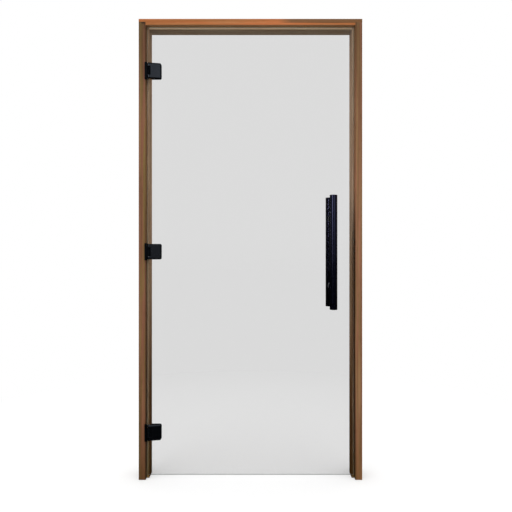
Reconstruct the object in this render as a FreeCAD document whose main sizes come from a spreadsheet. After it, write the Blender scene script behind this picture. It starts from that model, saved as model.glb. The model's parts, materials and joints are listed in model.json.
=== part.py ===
import FreeCAD, Part
import math
import os
import Sketcher
from FreeCAD import Placement, Rotation, Vector

# A frameless glass sauna door in a cedar frame. Millimetres, +Z up, -Y is the outside, and +X
# runs from the hinges to the catch. The origin lies on the hinge jamb's outer face, at the middle
# of its depth and of the frame's height.

# Driving dimensions

SIZES = [
    ("frame_width", 965, "outside of jamb to outside of jamb"),
    ("frame_height", 1990, "floor to the top of the head"),
    ("frame_depth", 116, "front to back of the frame"),
    ("jamb_thickness", 30, "side boards"),
    ("head_thickness", 27, "top board between the jambs"),
    ("head_lap", 13.5, "upper part of the head, which runs over the jambs"),
    ("board_round", 1.5, "long edges of the boards, rounded over"),
    ("stop_gap", 8, "back of the glass to the front of the stops"),
    ("stop_thickness", 12, "how far a stop stands out of its board"),
    ("stop_depth", 64, "stop, front to back"),
    ("glass_thickness", 8, "tempered glass"),
    ("glass_arris", 0.8, "ground edges of the glass"),
    ("glass_setback", 6, "front of the frame to the front of the glass"),
    ("side_gap", 6, "glass to jamb"),
    ("top_gap", 6, "glass to head"),
    ("bottom_gap", 20, "glass to floor"),
    ("hinge_rise", 205, "floor to the bottom hinge's centre"),
    ("hinge_drop", 192, "top of the glass to the top hinge's centre"),
    ("pin_offset", 16, "jamb to pin axis"),
    ("pin_forward", 8, "pin axis to the front of the glass"),
    ("pin_radius", 2.5, "hinge pin"),
    ("pin_clearance", 0.05, "round a pin in its bore"),
    ("clamp_height", 67, "both clamp plates"),
    ("clamp_reach", 51, "pin axis to the clamps' free ends"),
    ("clamp_corner", 7, "rounding of the clamps' free corners"),
    ("clamp_end", 4, "outer clamp's thickness at its free end"),
    ("arm_radius", 8, "outer clamp's arms round the pin"),
    ("bevel_width", 4.5, "bevel round the outer clamp's face, across the face"),
    ("bevel_depth", 1.2, "bevel round the outer clamp's face, into the edge"),
    ("slot_side", 7, "pin axis to the clamps' edge beside the barrel"),
    ("slot_height", 40, "slot between the arms, where the barrel turns"),
    ("inner_thickness", 5, "inner clamp"),
    ("inner_bevel", 1, "bevel round the inner clamp's face"),
    ("pad_thickness", 1, "pads between clamps and glass"),
    ("pad_margin", 5, "pads, in from the edges of the clamps"),
    ("leaf_height", 74, "hinge leaf"),
    ("leaf_to_stop", 2, "back of the leaf to the front of the stop"),
    ("leaf_sunk", 4, "leaf, let into the jamb"),
    ("leaf_proud", 1, "leaf, proud of the jamb"),
    ("block_lap", 3, "block on the leaf, over the jamb's front"),
    ("block_gap", 1, "block on the leaf, to the outer clamp's arms"),
    ("block_forward", 7, "block on the leaf, in front of the pin axis"),
    ("block_back", 3, "block on the leaf, behind the pin axis"),
    ("block_chamfer", 1.2, "front edges of the block on the leaf"),
    ("barrel_radius", 4.5, "pivot barrel on the leaf"),
    ("barrel_gap", 0.5, "barrel to the arms above and below it"),
    ("web_thickness", 6, "web between block and barrel"),
    ("handle_height", 983, "floor to the handle's centre"),
    ("handle_inset", 96.5, "free edge of the glass to the bars' axes"),
    ("bar_length", 483, "handle bar with its caps"),
    ("bar_radius", 16, "handle bar"),
    ("bar_wall", 2, "tube wall of the bar"),
    ("bar_gap", 49, "glass to the bar's surface"),
    ("cap_thickness", 4, "end cap of the bar"),
    ("cap_chamfer", 1.5, "edge of the end cap"),
    ("post_spacing", 290, "upper post to lower post"),
    ("post_radius", 9, "handle post"),
    ("collar_radius", 14, "collar at the foot of a post"),
    ("collar_thickness", 4, "collar at the foot of a post"),
    ("collar_chamfer", 0.8, "edge of the collar"),
    ("washer_thickness", 1, "clear washer between collar and glass"),
    ("stud_radius", 5, "stud through the glass"),
    ("stud_clearance", 1.5, "round the stud in the glass"),
    ("catch_centre", 987, "floor to the catch's centre"),
    ("catch_setback", 1, "catch plate, back from the frame's front"),
    ("catch_to_stop", 5, "back of the catch plate to the front of the stop"),
    ("catch_height", 92, "catch plate"),
    ("catch_thickness", 3, "catch plate"),
    ("catch_proud", 0.5, "catch plate, proud of the jamb"),
    ("ball_radius", 5, "catch ball"),
    ("ball_proud", 0.4, "catch ball, proud of its plate"),
    ("ball_clearance", 0.15, "round the catch ball"),
]

doc = FreeCAD.newDocument("sauna_door")
sizes = doc.addObject("Spreadsheet::Sheet", "sizes")
for row, (alias, value, note) in enumerate(SIZES, start=1):
    sizes.set(f"A{row}", str(value))
    sizes.setAlias(f"A{row}", alias)
    sizes.set(f"B{row}", note)
doc.recompute()

# Planes and lines that pieces share, as expressions of the driving dimensions

FRONT = "(-sizes.frame_depth / 2)"
FLOOR = "(-sizes.frame_height / 2)"
REVEAL = "(sizes.glass_setback + sizes.glass_thickness + sizes.stop_gap)"
STOP_FACE = f"({FRONT} + {REVEAL})"
STRIKE_FACE = "(sizes.frame_width - sizes.jamb_thickness)"
HEAD_FACE = "(sizes.frame_height / 2 - sizes.head_thickness)"
GLASS_LEFT = "(sizes.jamb_thickness + sizes.side_gap)"
GLASS_RIGHT = f"({STRIKE_FACE} - sizes.side_gap)"
GLASS_FOOT = f"({FLOOR} + sizes.bottom_gap)"
GLASS_WIDE = f"({GLASS_RIGHT} - {GLASS_LEFT})"
GLASS_TOP = f"({HEAD_FACE} - sizes.top_gap)"
GLASS_TALL = f"({GLASS_TOP} - {GLASS_FOOT})"
GLASS_FRONT = f"({FRONT} + sizes.glass_setback)"
GLASS_MIDDLE = f"({GLASS_FRONT} + sizes.glass_thickness / 2)"
PIN_X = "(sizes.jamb_thickness + sizes.pin_offset)"
PIN_Y = f"({GLASS_FRONT} - sizes.pin_forward)"
BARREL_TALL = "(sizes.slot_height - 2 * sizes.barrel_gap)"
PIN_BORE = "(sizes.pin_radius + sizes.pin_clearance)"
PAD_FACE = "(sizes.pin_forward - sizes.pad_thickness)"
CLAMP_TIP = f"({PAD_FACE} - sizes.clamp_end)"
HANDLE_X = f"({GLASS_RIGHT} - sizes.handle_inset)"
HANDLE_Z = f"({FLOOR} + sizes.handle_height)"
LEAF_DEEP = f"({REVEAL} - sizes.leaf_to_stop)"
CATCH_Y = f"({FRONT} + sizes.catch_setback)"
CATCH_DEEP = f"({REVEAL} - sizes.catch_setback - sizes.catch_to_stop)"
CATCH_Z = f"({FLOOR} + sizes.catch_centre)"
CATCH_FACE = f"({STRIKE_FACE} - sizes.catch_proud)"
BALL_X = f"({CATCH_FACE} - sizes.ball_proud + sizes.ball_radius)"
TOP_HINGE = f"({GLASS_TOP} - sizes.hinge_drop)"
BOTTOM_HINGE = f"({FLOOR} + sizes.hinge_rise)"
HINGES = {
    "top": TOP_HINGE,
    "middle": f"(({TOP_HINGE} + {BOTTOM_HINGE}) / 2)",
    "bottom": BOTTOM_HINGE,
}
SIDES = {"outer": -1, "inner": 1}
POSTS = {"upper": 1, "lower": -1}
ALONG_Y = Rotation(Vector(1, 0, 0), -90)
ALONG_X = Rotation(Vector(0, 1, 0), 90)

nodes = []


# Small helpers

def number(expression):
    return float(sizes.evalExpression(expression))


def place(piece, x, y, z, turn=Rotation()):
    piece.Placement = Placement(Vector(0, 0, 0), turn)
    for axis, expression in (("x", x), ("y", y), ("z", z)):
        piece.setExpression(f".Placement.Base.{axis}", expression)
    return piece


def bind(piece, **expressions):
    for name, expression in expressions.items():
        piece.setExpression(name, expression)
    return piece


def block(name, wide, deep, tall, x, y, z):
    piece = doc.addObject("Part::Box", name)
    bind(piece, Length=wide, Width=deep, Height=tall)
    return place(piece, x, y, z)


def rod(name, radius, length, x, y, z, turn=Rotation()):
    piece = doc.addObject("Part::Cylinder", name)
    bind(piece, Radius=radius, Height=length)
    return place(piece, x, y, z, turn)


def cut(name, base, tool):
    piece = doc.addObject("Part::Cut", name)
    piece.Base = base
    piece.Tool = tool
    return piece


def fuse(name, pieces):
    piece = doc.addObject("Part::MultiFuse", name)
    piece.Shapes = pieces
    return piece


def node(piece, name):
    piece.Label = name
    nodes.append(piece)
    return piece


def new_sketch(body, name, role):
    sketch = body.newObject("Sketcher::SketchObject", name)
    plane = [p for p in body.Origin.OriginFeatures if p.Role == role][0]
    sketch.AttachmentSupport = (plane, [""])
    sketch.MapMode = "FlatFace"
    return sketch


def pin_point(sketch, line, end, u, v):
    """Holds a point of the sketch at two expressions from the sketch's origin."""
    for kind, expression in (("DistanceX", u), ("DistanceY", v)):
        value = number(expression)
        index = sketch.addConstraint(Sketcher.Constraint(kind, -1, 1, line, end, value))
        sketch.setExpression(f"Constraints[{index}]", expression)


def outline(sketch, points):
    """Draws a closed outline through points, each a pair of expressions."""
    start = sketch.GeometryCount
    corners = [Vector(number(u), number(v), 0) for u, v in points]
    for a, b in zip(corners, corners[1:] + corners[:1]):
        sketch.addGeometry(Part.LineSegment(a, b), False)
    count = len(points)
    for i, (u, v) in enumerate(points):
        following = start + (i + 1) % count
        sketch.addConstraint(Sketcher.Constraint("Coincident", start + i, 2, following, 1))
        pin_point(sketch, start + i, 1, u, v)


def circle(sketch, u, v, radius):
    centre = Vector(number(u), number(v), 0)
    index = sketch.addGeometry(Part.Circle(centre, Vector(0, 0, 1), number(radius)), False)
    pin_point(sketch, index, 3, u, v)
    held = sketch.addConstraint(Sketcher.Constraint("Radius", index, number(radius)))
    sketch.setExpression(f"Constraints[{held}]", radius)


def pad(body, name, sketch, length, backwards=False):
    feature = body.newObject("PartDesign::Pad", name)
    feature.Profile = sketch
    feature.Reversed = backwards
    feature.setExpression("Length", length)
    return feature


def dress(body, kind, name, feature, edges, **expressions):
    """Adds a fillet or chamfer to the edges of a feature that pass a test."""
    doc.recompute()
    names = [f"Edge{i}" for i, edge in enumerate(feature.Shape.Edges, start=1) if edges(edge)]
    dressed = body.newObject(f"PartDesign::{kind}", name)
    dressed.Base = (feature, names)
    bind(dressed, **expressions)
    body.Tip = dressed
    return dressed


def runs_along(edge, axis):
    ends = [v.Point for v in edge.Vertexes]
    if len(ends) < 2:
        return False
    along = ends[1] - ends[0]
    return along.Length > 0 and abs(abs(along.dot(axis)) - along.Length) < 1e-6


# Frame boards

def board(name, plane, wide, thick, length, x, y, z):
    """A board drawn in section on a plane and padded along its grain, with its long edges eased."""
    body = doc.addObject("PartDesign::Body", name)
    sketch = new_sketch(body, f"{name}_section", plane)
    outline(sketch, [("0", "0"), (wide, "0"), (wide, thick), ("0", thick)])
    sawn = pad(body, f"{name}_length", sketch, length)
    grain = Vector(0, 0, 1) if plane == "XY_Plane" else Vector(1, 0, 0)

    def long_edge(edge):
        return runs_along(edge, grain)

    dress(body, "Fillet", f"{name}_eased", sawn, long_edge, Radius="sizes.board_round")
    return place(body, x, y, z)


def frame_boards():
    tall = "(sizes.frame_height - sizes.head_lap)"
    stop_tall = "(sizes.frame_height - sizes.head_thickness)"
    jamb = ("XY_Plane", "sizes.jamb_thickness", "sizes.frame_depth", tall)
    stop = ("XY_Plane", "sizes.stop_thickness", "sizes.stop_depth", stop_tall)
    hinge = board("hinge_jamb_board", *jamb, "0", FRONT, FLOOR)
    node(cut("hinge_jamb_cut", hinge, leaf_mortises()), "hinge_jamb")
    strike = board("strike_jamb_board", *jamb, STRIKE_FACE, FRONT, FLOOR)
    node(cut("strike_jamb_cut", strike, catch_mortise()), "strike_jamb")
    node(board("hinge_stop_board", *stop, "sizes.jamb_thickness", STOP_FACE, FLOOR), "hinge_stop")
    strike_x = f"({STRIKE_FACE} - sizes.stop_thickness)"
    node(board("strike_stop_board", *stop, strike_x, STOP_FACE, FLOOR), "strike_stop")
    head_stop = board(
        "head_stop_board",
        "YZ_Plane",
        "sizes.stop_depth",
        "sizes.stop_thickness",
        "(sizes.frame_width - 2 * sizes.jamb_thickness - 2 * sizes.stop_thickness)",
        "(sizes.jamb_thickness + sizes.stop_thickness)",
        STOP_FACE,
        f"({HEAD_FACE} - sizes.stop_thickness)",
    )
    node(head_stop, "head_stop")


def head_board():
    """The head lies between the jambs, and its upper part laps over their ends."""
    body = doc.addObject("PartDesign::Body", "head_board")
    sketch = new_sketch(body, "head_outline", "XZ_Plane")
    lower = "(sizes.head_thickness - sizes.head_lap)"
    outline(sketch, [
        ("sizes.jamb_thickness", "0"),
        (STRIKE_FACE, "0"),
        (STRIKE_FACE, lower),
        ("sizes.frame_width", lower),
        ("sizes.frame_width", "sizes.head_thickness"),
        ("0", "sizes.head_thickness"),
        ("0", lower),
        ("sizes.jamb_thickness", lower),
    ])
    sawn = pad(body, "head_depth", sketch, "sizes.frame_depth", backwards=True)
    lap = number(lower)

    def long_edge(edge):
        """True of the edges of the top and the underside, but not of the laps on the jambs."""
        return runs_along(edge, Vector(1, 0, 0)) and abs(edge.CenterOfMass.z - lap) > 1e-6

    dress(body, "Fillet", "head_eased", sawn, long_edge, Radius="sizes.board_round")
    node(place(body, "0", FRONT, HEAD_FACE), "head_jamb")


# Catch, let into the strike jamb

def catch_mortise():
    pocket = block(
        "catch_pocket",
        "(sizes.catch_thickness - sizes.catch_proud)",
        CATCH_DEEP,
        "sizes.catch_height",
        STRIKE_FACE,
        CATCH_Y,
        f"({CATCH_Z} - sizes.catch_height / 2)",
    )
    bore = rod(
        "catch_bore",
        "(sizes.ball_radius + sizes.ball_clearance)",
        "(2 * sizes.ball_radius + sizes.ball_clearance)",
        STRIKE_FACE,
        f"({CATCH_Y} + {CATCH_DEEP} / 2)",
        CATCH_Z,
        ALONG_X,
    )
    return fuse("catch_mortise", [pocket, bore])


def catch():
    middle = f"({CATCH_Y} + {CATCH_DEEP} / 2)"
    plate = block(
        "catch_blank",
        "sizes.catch_thickness",
        CATCH_DEEP,
        "sizes.catch_height",
        CATCH_FACE,
        CATCH_Y,
        f"({CATCH_Z} - sizes.catch_height / 2)",
    )
    hole = rod(
        "catch_hole",
        "(sizes.ball_radius + sizes.ball_clearance)",
        "sizes.catch_thickness",
        CATCH_FACE,
        middle,
        CATCH_Z,
        ALONG_X,
    )
    node(cut("catch_plate_cut", plate, hole), "catch_plate")
    ball = bind(doc.addObject("Part::Sphere", "catch_ball_round"), Radius="sizes.ball_radius")
    node(place(ball, BALL_X, middle, CATCH_Z), "catch_ball")


# Hinges

def leaf_mortises():
    """The recesses in the hinge jamb, one for each leaf."""
    recesses = []
    for where, z in HINGES.items():
        recess = block(
            f"{where}_recess",
            "sizes.leaf_sunk",
            LEAF_DEEP,
            "sizes.leaf_height",
            "(sizes.jamb_thickness - sizes.leaf_sunk)",
            FRONT,
            f"({z} - sizes.leaf_height / 2)",
        )
        recesses.append(recess)
    return fuse("leaf_recesses", recesses)


def leaf_block(name, foot):
    """The block in front of the leaf, with its front edges chamfered."""
    wide = "(sizes.block_lap + sizes.pin_offset - sizes.arm_radius - sizes.block_gap)"
    deep = "(sizes.block_forward + sizes.block_back)"
    body = doc.addObject("PartDesign::Body", f"{name}_block")
    sketch = new_sketch(body, f"{name}_block_section", "XY_Plane")
    outline(sketch, [("0", "0"), (wide, "0"), (wide, deep), ("0", deep)])
    blank = pad(body, f"{name}_block_blank", sketch, "sizes.leaf_height")

    def on_the_front(edge):
        return all(abs(v.Point.y) < 1e-6 for v in edge.Vertexes)

    dress(
        body, "Chamfer", f"{name}_block_front", blank, on_the_front, Size="sizes.block_chamfer"
    )
    x = "(sizes.jamb_thickness - sizes.block_lap)"
    return place(body, x, f"({PIN_Y} - sizes.block_forward)", foot)


def hinge_leaf(where, z):
    """A leaf let into the jamb, a block in front of it, and a web and barrel for the pin."""
    name = f"{where}_leaf"
    foot = f"({z} - sizes.leaf_height / 2)"
    low = f"({z} - {BARREL_TALL} / 2)"
    leaf = block(
        f"{name}_plate",
        "(sizes.leaf_sunk + sizes.leaf_proud)",
        LEAF_DEEP,
        "sizes.leaf_height",
        "(sizes.jamb_thickness - sizes.leaf_sunk)",
        FRONT,
        foot,
    )
    front_block = leaf_block(name, foot)
    web = block(
        f"{name}_web",
        "sizes.pin_offset",
        "sizes.web_thickness",
        BARREL_TALL,
        "sizes.jamb_thickness",
        f"({PIN_Y} - sizes.web_thickness / 2)",
        low,
    )
    barrel = rod(f"{name}_barrel", "sizes.barrel_radius", BARREL_TALL, PIN_X, PIN_Y, low)
    bore = rod(f"{name}_bore", PIN_BORE, BARREL_TALL, PIN_X, PIN_Y, low)
    solid = fuse(f"{name}_solid", [leaf, front_block, web, barrel])
    node(cut(f"{name}_cut", solid, bore), f"{where}_hinge_leaf")


def hinge_pin(where, z):
    low = f"({z} - sizes.clamp_height / 2)"
    pin = rod(f"{where}_pin", "sizes.pin_radius", "sizes.clamp_height", PIN_X, PIN_Y, low)
    node(pin, f"{where}_hinge_pin")


def clamp_profile(sketch):
    """The outer clamp seen from above: round at the pin, then tapering to its free end."""
    radius = number("sizes.arm_radius")
    reach = number("sizes.clamp_reach")
    back = number(PAD_FACE)
    tip = number(CLAMP_TIP)
    span = math.hypot(reach, tip)
    touch = math.atan2(tip, reach) - math.acos(radius / span)
    tangent = Vector(radius * math.cos(touch), radius * math.sin(touch), 0)
    corners = [
        tangent,
        Vector(reach, tip, 0),
        Vector(reach, back, 0),
        Vector(-radius, back, 0),
        Vector(-radius, 0, 0),
    ]
    ring = Part.Circle(Vector(0, 0, 0), Vector(0, 0, 1), radius)
    sketch.addGeometry(Part.ArcOfCircle(ring, math.pi, 2 * math.pi + touch), False)
    for a, b in zip(corners, corners[1:]):
        sketch.addGeometry(Part.LineSegment(a, b), False)
    arc, face, end, rear, side = range(5)
    join = Sketcher.Constraint
    sketch.addConstraint([
        join("Coincident", arc, 3, -1, 1),
        join("Tangent", arc, 2, face, 1),
        join("Coincident", face, 2, end, 1),
        join("Coincident", end, 2, rear, 1),
        join("Coincident", rear, 2, side, 1),
        join("Coincident", side, 2, arc, 1),
        join("PointOnObject", arc, 1, -1),
        join("Vertical", end),
        join("Horizontal", rear),
        join("Vertical", side),
    ])
    held = sketch.addConstraint(join("Radius", arc, radius))
    sketch.setExpression(f"Constraints[{held}]", "sizes.arm_radius")
    pin_point(sketch, face, 2, "sizes.clamp_reach", CLAMP_TIP)
    held = sketch.addConstraint(join("DistanceY", -1, 1, rear, 1, back))
    sketch.setExpression(f"Constraints[{held}]", PAD_FACE)


def outer_clamp(where, z):
    """The clamp on the outside, with a slot for the barrel and two arms that hold the pin."""
    name = f"{where}_outer"
    body = doc.addObject("PartDesign::Body", f"{name}_body")
    sketch = new_sketch(body, f"{name}_profile", "XY_Plane")
    clamp_profile(sketch)
    blank = pad(body, f"{name}_blank", sketch, "sizes.clamp_height")
    reach = number("sizes.clamp_reach")
    back = number(PAD_FACE)

    def at_free_corner(edge):
        return runs_along(edge, Vector(0, 1, 0)) and abs(edge.CenterOfMass.x - reach) < 1e-6

    def on_the_border(edge):
        """True of the edges round the sloping face, but for the one where it meets the arms."""
        ends = [v.Point for v in edge.Vertexes]
        across_the_end = abs(ends[0].x - ends[1].x) < 1e-6 and ends[0].x < reach - 1e-6
        return all(0 < p.x and p.y < back - 1e-6 for p in ends) and not across_the_end

    rounded = dress(
        body, "Fillet", f"{name}_corners", blank, at_free_corner, Radius="sizes.clamp_corner"
    )
    bevel = dress(
        body,
        "Chamfer",
        f"{name}_bevel",
        rounded,
        on_the_border,
        Size="sizes.bevel_width",
        Size2="sizes.bevel_depth",
    )
    bevel.ChamferType = "Two distances"
    low = f"({z} - sizes.clamp_height / 2)"
    place(body, PIN_X, PIN_Y, low)
    slot = block(
        f"{name}_slot",
        "(sizes.arm_radius + sizes.slot_side)",
        f"(sizes.arm_radius + {PAD_FACE})",
        "sizes.slot_height",
        f"({PIN_X} - sizes.arm_radius)",
        f"({PIN_Y} - sizes.arm_radius)",
        f"({z} - sizes.slot_height / 2)",
    )
    bore = rod(f"{name}_bore", PIN_BORE, "sizes.clamp_height", PIN_X, PIN_Y, low)
    space = fuse(f"{name}_space", [slot, bore])
    node(cut(f"{name}_cut", body, space), f"{where}_hinge_outer_clamp")


def inner_clamp(where, z):
    """A flat plate behind the glass with rounded corners."""
    name = f"{where}_inner"
    wide = "(sizes.clamp_reach - sizes.slot_side)"
    body = doc.addObject("PartDesign::Body", f"{name}_plate")
    sketch = new_sketch(body, f"{name}_outline", "XZ_Plane")
    tall = "sizes.clamp_height"
    outline(sketch, [("0", "0"), (wide, "0"), (wide, tall), ("0", tall)])
    slab = pad(body, f"{name}_slab", sketch, "sizes.inner_thickness", backwards=True)
    reach = number(wide)

    def at_free_corner(edge):
        return runs_along(edge, Vector(0, 1, 0)) and abs(edge.CenterOfMass.x - reach) < 1e-6

    rounded = dress(
        body, "Fillet", f"{name}_corners", slab, at_free_corner, Radius="sizes.clamp_corner"
    )
    face = number("sizes.inner_thickness")

    def round_the_face(edge):
        return all(abs(v.Point.y - face) < 1e-6 for v in edge.Vertexes)

    dress(body, "Chamfer", f"{name}_bevel", rounded, round_the_face, Size="sizes.inner_bevel")
    y = f"({GLASS_FRONT} + sizes.glass_thickness + sizes.pad_thickness)"
    place(body, f"({PIN_X} + sizes.slot_side)", y, f"({z} - sizes.clamp_height / 2)")
    node(body, f"{where}_hinge_inner_clamp")


def hinge_pads(where, z):
    """Two pads, one on each face of the glass, a little smaller than the clamps."""
    tall = "(sizes.clamp_height - 2 * sizes.pad_margin)"
    pads = []
    for side, y in (
        ("outer", f"({PIN_Y} + {PAD_FACE})"),
        ("inner", f"({GLASS_FRONT} + sizes.glass_thickness)"),
    ):
        pad_block = block(
            f"{where}_{side}_pad",
            "(sizes.clamp_reach - sizes.slot_side - 2 * sizes.pad_margin)",
            "sizes.pad_thickness",
            tall,
            f"({PIN_X} + sizes.slot_side + sizes.pad_margin)",
            y,
            f"({z} - {tall} / 2)",
        )
        pads.append(pad_block)
    node(fuse(f"{where}_pads", pads), f"{where}_hinge_pads")


# Glass

def glass():
    """One sheet with two holes for the handle."""
    body = doc.addObject("PartDesign::Body", "glass_sheet")
    sketch = new_sketch(body, "glass_outline", "XZ_Plane")
    outline(sketch, [("0", "0"), (GLASS_WIDE, "0"), (GLASS_WIDE, GLASS_TALL), ("0", GLASS_TALL)])
    for sign in POSTS.values():
        circle(
            sketch,
            f"({GLASS_WIDE} - sizes.handle_inset)",
            f"({HANDLE_Z} - {GLASS_FOOT} + {sign} * sizes.post_spacing / 2)",
            "(sizes.stud_radius + sizes.stud_clearance)",
        )
    sheet = pad(body, "glass_thickness", sketch, "sizes.glass_thickness", backwards=True)

    def on_a_face(edge):
        return not runs_along(edge, Vector(0, 1, 0)) and len(edge.Vertexes) == 2

    dress(body, "Chamfer", "glass_edges", sheet, on_a_face, Size="sizes.glass_arris")
    node(place(body, GLASS_LEFT, GLASS_FRONT, GLASS_FOOT), "glass_panel")


# Handle

def bar_axis_y(sign):
    away = "(sizes.glass_thickness / 2 + sizes.bar_gap + sizes.bar_radius)"
    return f"({GLASS_MIDDLE} + {sign} * {away})"


def handle_bar(side, sign):
    body = doc.addObject("PartDesign::Body", f"{side}_bar")
    sketch = new_sketch(body, f"{side}_bar_section", "XY_Plane")
    circle(sketch, "0", "0", "sizes.bar_radius")
    circle(sketch, "0", "0", "(sizes.bar_radius - sizes.bar_wall)")
    pad(body, f"{side}_bar_length", sketch, "(sizes.bar_length - 2 * sizes.cap_thickness)")
    low = f"({HANDLE_Z} - sizes.bar_length / 2 + sizes.cap_thickness)"
    node(place(body, HANDLE_X, bar_axis_y(sign), low), f"{side}_handle_bar")


def disc(name, radius, thickness, chamfer):
    """A round plate whose far edge is chamfered."""
    body = doc.addObject("PartDesign::Body", name)
    sketch = new_sketch(body, f"{name}_section", "XY_Plane")
    circle(sketch, "0", "0", radius)
    blank = pad(body, f"{name}_blank", sketch, thickness)
    far = number(thickness)

    def far_edge(edge):
        return abs(edge.CenterOfMass.z - far) < 1e-6

    dress(body, "Chamfer", f"{name}_chamfer", blank, far_edge, Size=chamfer)
    return body


def bar_cap(side, sign, end, way):
    """A round cap on the end of a bar. The lower one is turned over."""
    name = f"{side}_{end}_cap"
    cap = disc(name, "sizes.bar_radius", "sizes.cap_thickness", "sizes.cap_chamfer")
    z = f"({HANDLE_Z} + {way} * (sizes.bar_length / 2 - sizes.cap_thickness))"
    turn = Rotation(Vector(1, 0, 0), 0 if way > 0 else 180)
    node(place(cap, HANDLE_X, bar_axis_y(sign), z, turn), f"{side}_handle_{end}_cap")


def from_glass(sign, distance):
    """A place along Y at a distance from the glass, on one side of it."""
    return f"({GLASS_MIDDLE} + {sign} * (sizes.glass_thickness / 2 + {distance}))"


def handle_post(side, sign, end, way):
    z = f"({HANDLE_Z} + {way} * sizes.post_spacing / 2)"
    foot = "(sizes.washer_thickness + sizes.collar_thickness)"
    axis = "(sizes.bar_gap + sizes.bar_radius)"
    name = f"{side}_{end}"
    post = rod(
        f"{name}_post_rod",
        "sizes.post_radius",
        f"({axis} - {foot})",
        HANDLE_X,
        from_glass(sign, foot if sign > 0 else axis),
        z,
        ALONG_Y,
    )
    bar = rod(
        f"{name}_post_seat",
        "sizes.bar_radius",
        "(4 * sizes.post_radius)",
        HANDLE_X,
        bar_axis_y(sign),
        f"({z} - 2 * sizes.post_radius)",
    )
    node(cut(f"{name}_post_cut", post, bar), f"{side}_handle_{end}_post")
    collar = disc(
        f"{name}_collar", "sizes.collar_radius", "sizes.collar_thickness", "sizes.collar_chamfer"
    )
    y = from_glass(sign, "sizes.washer_thickness")
    turn = Rotation(Vector(1, 0, 0), -90 * sign)
    node(place(collar, HANDLE_X, y, z, turn), f"{side}_handle_{end}_collar")


def handle_stud(end, way):
    stud = rod(
        f"{end}_stud",
        "sizes.stud_radius",
        "(sizes.glass_thickness + 2 * sizes.washer_thickness)",
        HANDLE_X,
        f"({GLASS_MIDDLE} - sizes.glass_thickness / 2 - sizes.washer_thickness)",
        f"({HANDLE_Z} + {way} * sizes.post_spacing / 2)",
        ALONG_Y,
    )
    node(stud, f"{end}_handle_stud")


def handle_washers():
    """Four clear rings, one between each collar and the glass."""
    rings = []
    for side, sign in SIDES.items():
        for end, way in POSTS.items():
            where = (
                HANDLE_X,
                from_glass(sign, "0" if sign > 0 else "sizes.washer_thickness"),
                f"({HANDLE_Z} + {way} * sizes.post_spacing / 2)",
                ALONG_Y,
            )
            name = f"{side}_{end}_washer"
            round_blank = rod(f"{name}_blank", "sizes.collar_radius", "sizes.washer_thickness", *where)
            hole_radius = "(sizes.stud_radius + sizes.stud_clearance)"
            hole = rod(f"{name}_hole", hole_radius, "sizes.washer_thickness", *where)
            rings.append(cut(f"{name}_ring", round_blank, hole))
    node(fuse("washers", rings), "handle_washers")


# Build

frame_boards()
head_board()
catch()
for where, z in HINGES.items():
    hinge_leaf(where, z)
    hinge_pin(where, z)
    outer_clamp(where, z)
    inner_clamp(where, z)
    hinge_pads(where, z)
glass()
for side, sign in SIDES.items():
    handle_bar(side, sign)
    for end, way in POSTS.items():
        bar_cap(side, sign, end, way)
        handle_post(side, sign, end, way)
for end, way in POSTS.items():
    handle_stud(end, way)
handle_washers()
doc.recompute()

# Check and write

for item in doc.Objects:
    if "Invalid" in item.State or "Error" in item.State:
        raise RuntimeError(f"{item.Label} failed: {item.State}")
for piece in nodes:
    if piece.Shape.isNull() or not piece.Shape.isValid():
        raise RuntimeError(f"{piece.Label} has no valid shape")

os.makedirs("parts", exist_ok=True)
for piece in nodes:
    piece.Shape.exportStep(f"parts/{piece.Label}.step")
    print(piece.Label, len(piece.Shape.Solids), round(piece.Shape.Volume, 1))
print(len(nodes), "nodes")
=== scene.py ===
# %% [markdown]
# A frameless glass sauna door, hung on clamp hinges in a cedar frame.
#
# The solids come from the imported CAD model: boards, glass, hinges and a pull handle on each side.
# This lesson gives them their looks. It sets up a camera and soft studio light, builds the grain of
# cedar, the satin black of the fittings and clear tempered glass from shader nodes, and adds what
# the CAD model leaves out: small screws, and the backs of the pockets in the hinges. Every length
# is in metres, in the frame of the CAD.

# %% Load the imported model
import json
import math

import bmesh
import bpy
from mathutils import Matrix, Vector


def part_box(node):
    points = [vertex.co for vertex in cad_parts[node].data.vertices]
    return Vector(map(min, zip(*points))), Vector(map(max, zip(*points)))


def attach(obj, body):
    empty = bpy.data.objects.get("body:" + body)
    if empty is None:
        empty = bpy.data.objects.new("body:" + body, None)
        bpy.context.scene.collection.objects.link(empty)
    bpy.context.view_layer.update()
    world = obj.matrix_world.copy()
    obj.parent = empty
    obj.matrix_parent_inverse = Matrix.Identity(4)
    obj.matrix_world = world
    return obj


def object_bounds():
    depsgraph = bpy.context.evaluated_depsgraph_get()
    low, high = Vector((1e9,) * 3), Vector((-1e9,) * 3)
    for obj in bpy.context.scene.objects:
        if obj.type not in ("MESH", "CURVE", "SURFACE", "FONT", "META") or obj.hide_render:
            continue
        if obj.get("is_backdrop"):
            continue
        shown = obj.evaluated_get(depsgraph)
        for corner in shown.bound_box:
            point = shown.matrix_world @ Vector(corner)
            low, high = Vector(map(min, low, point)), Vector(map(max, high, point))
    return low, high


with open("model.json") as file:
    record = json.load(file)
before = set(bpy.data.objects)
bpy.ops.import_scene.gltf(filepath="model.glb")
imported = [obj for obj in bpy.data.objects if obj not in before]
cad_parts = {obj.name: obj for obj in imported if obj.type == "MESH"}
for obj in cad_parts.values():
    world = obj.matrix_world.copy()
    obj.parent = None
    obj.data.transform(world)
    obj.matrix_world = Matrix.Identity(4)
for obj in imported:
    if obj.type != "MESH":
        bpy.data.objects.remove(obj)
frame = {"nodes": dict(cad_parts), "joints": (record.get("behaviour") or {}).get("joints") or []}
nodes = frame["nodes"]
cad_low, cad_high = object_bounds()
print("CAD box", [round(value, 4) for value in cad_high - cad_low], "with", len(nodes), "nodes")

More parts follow.
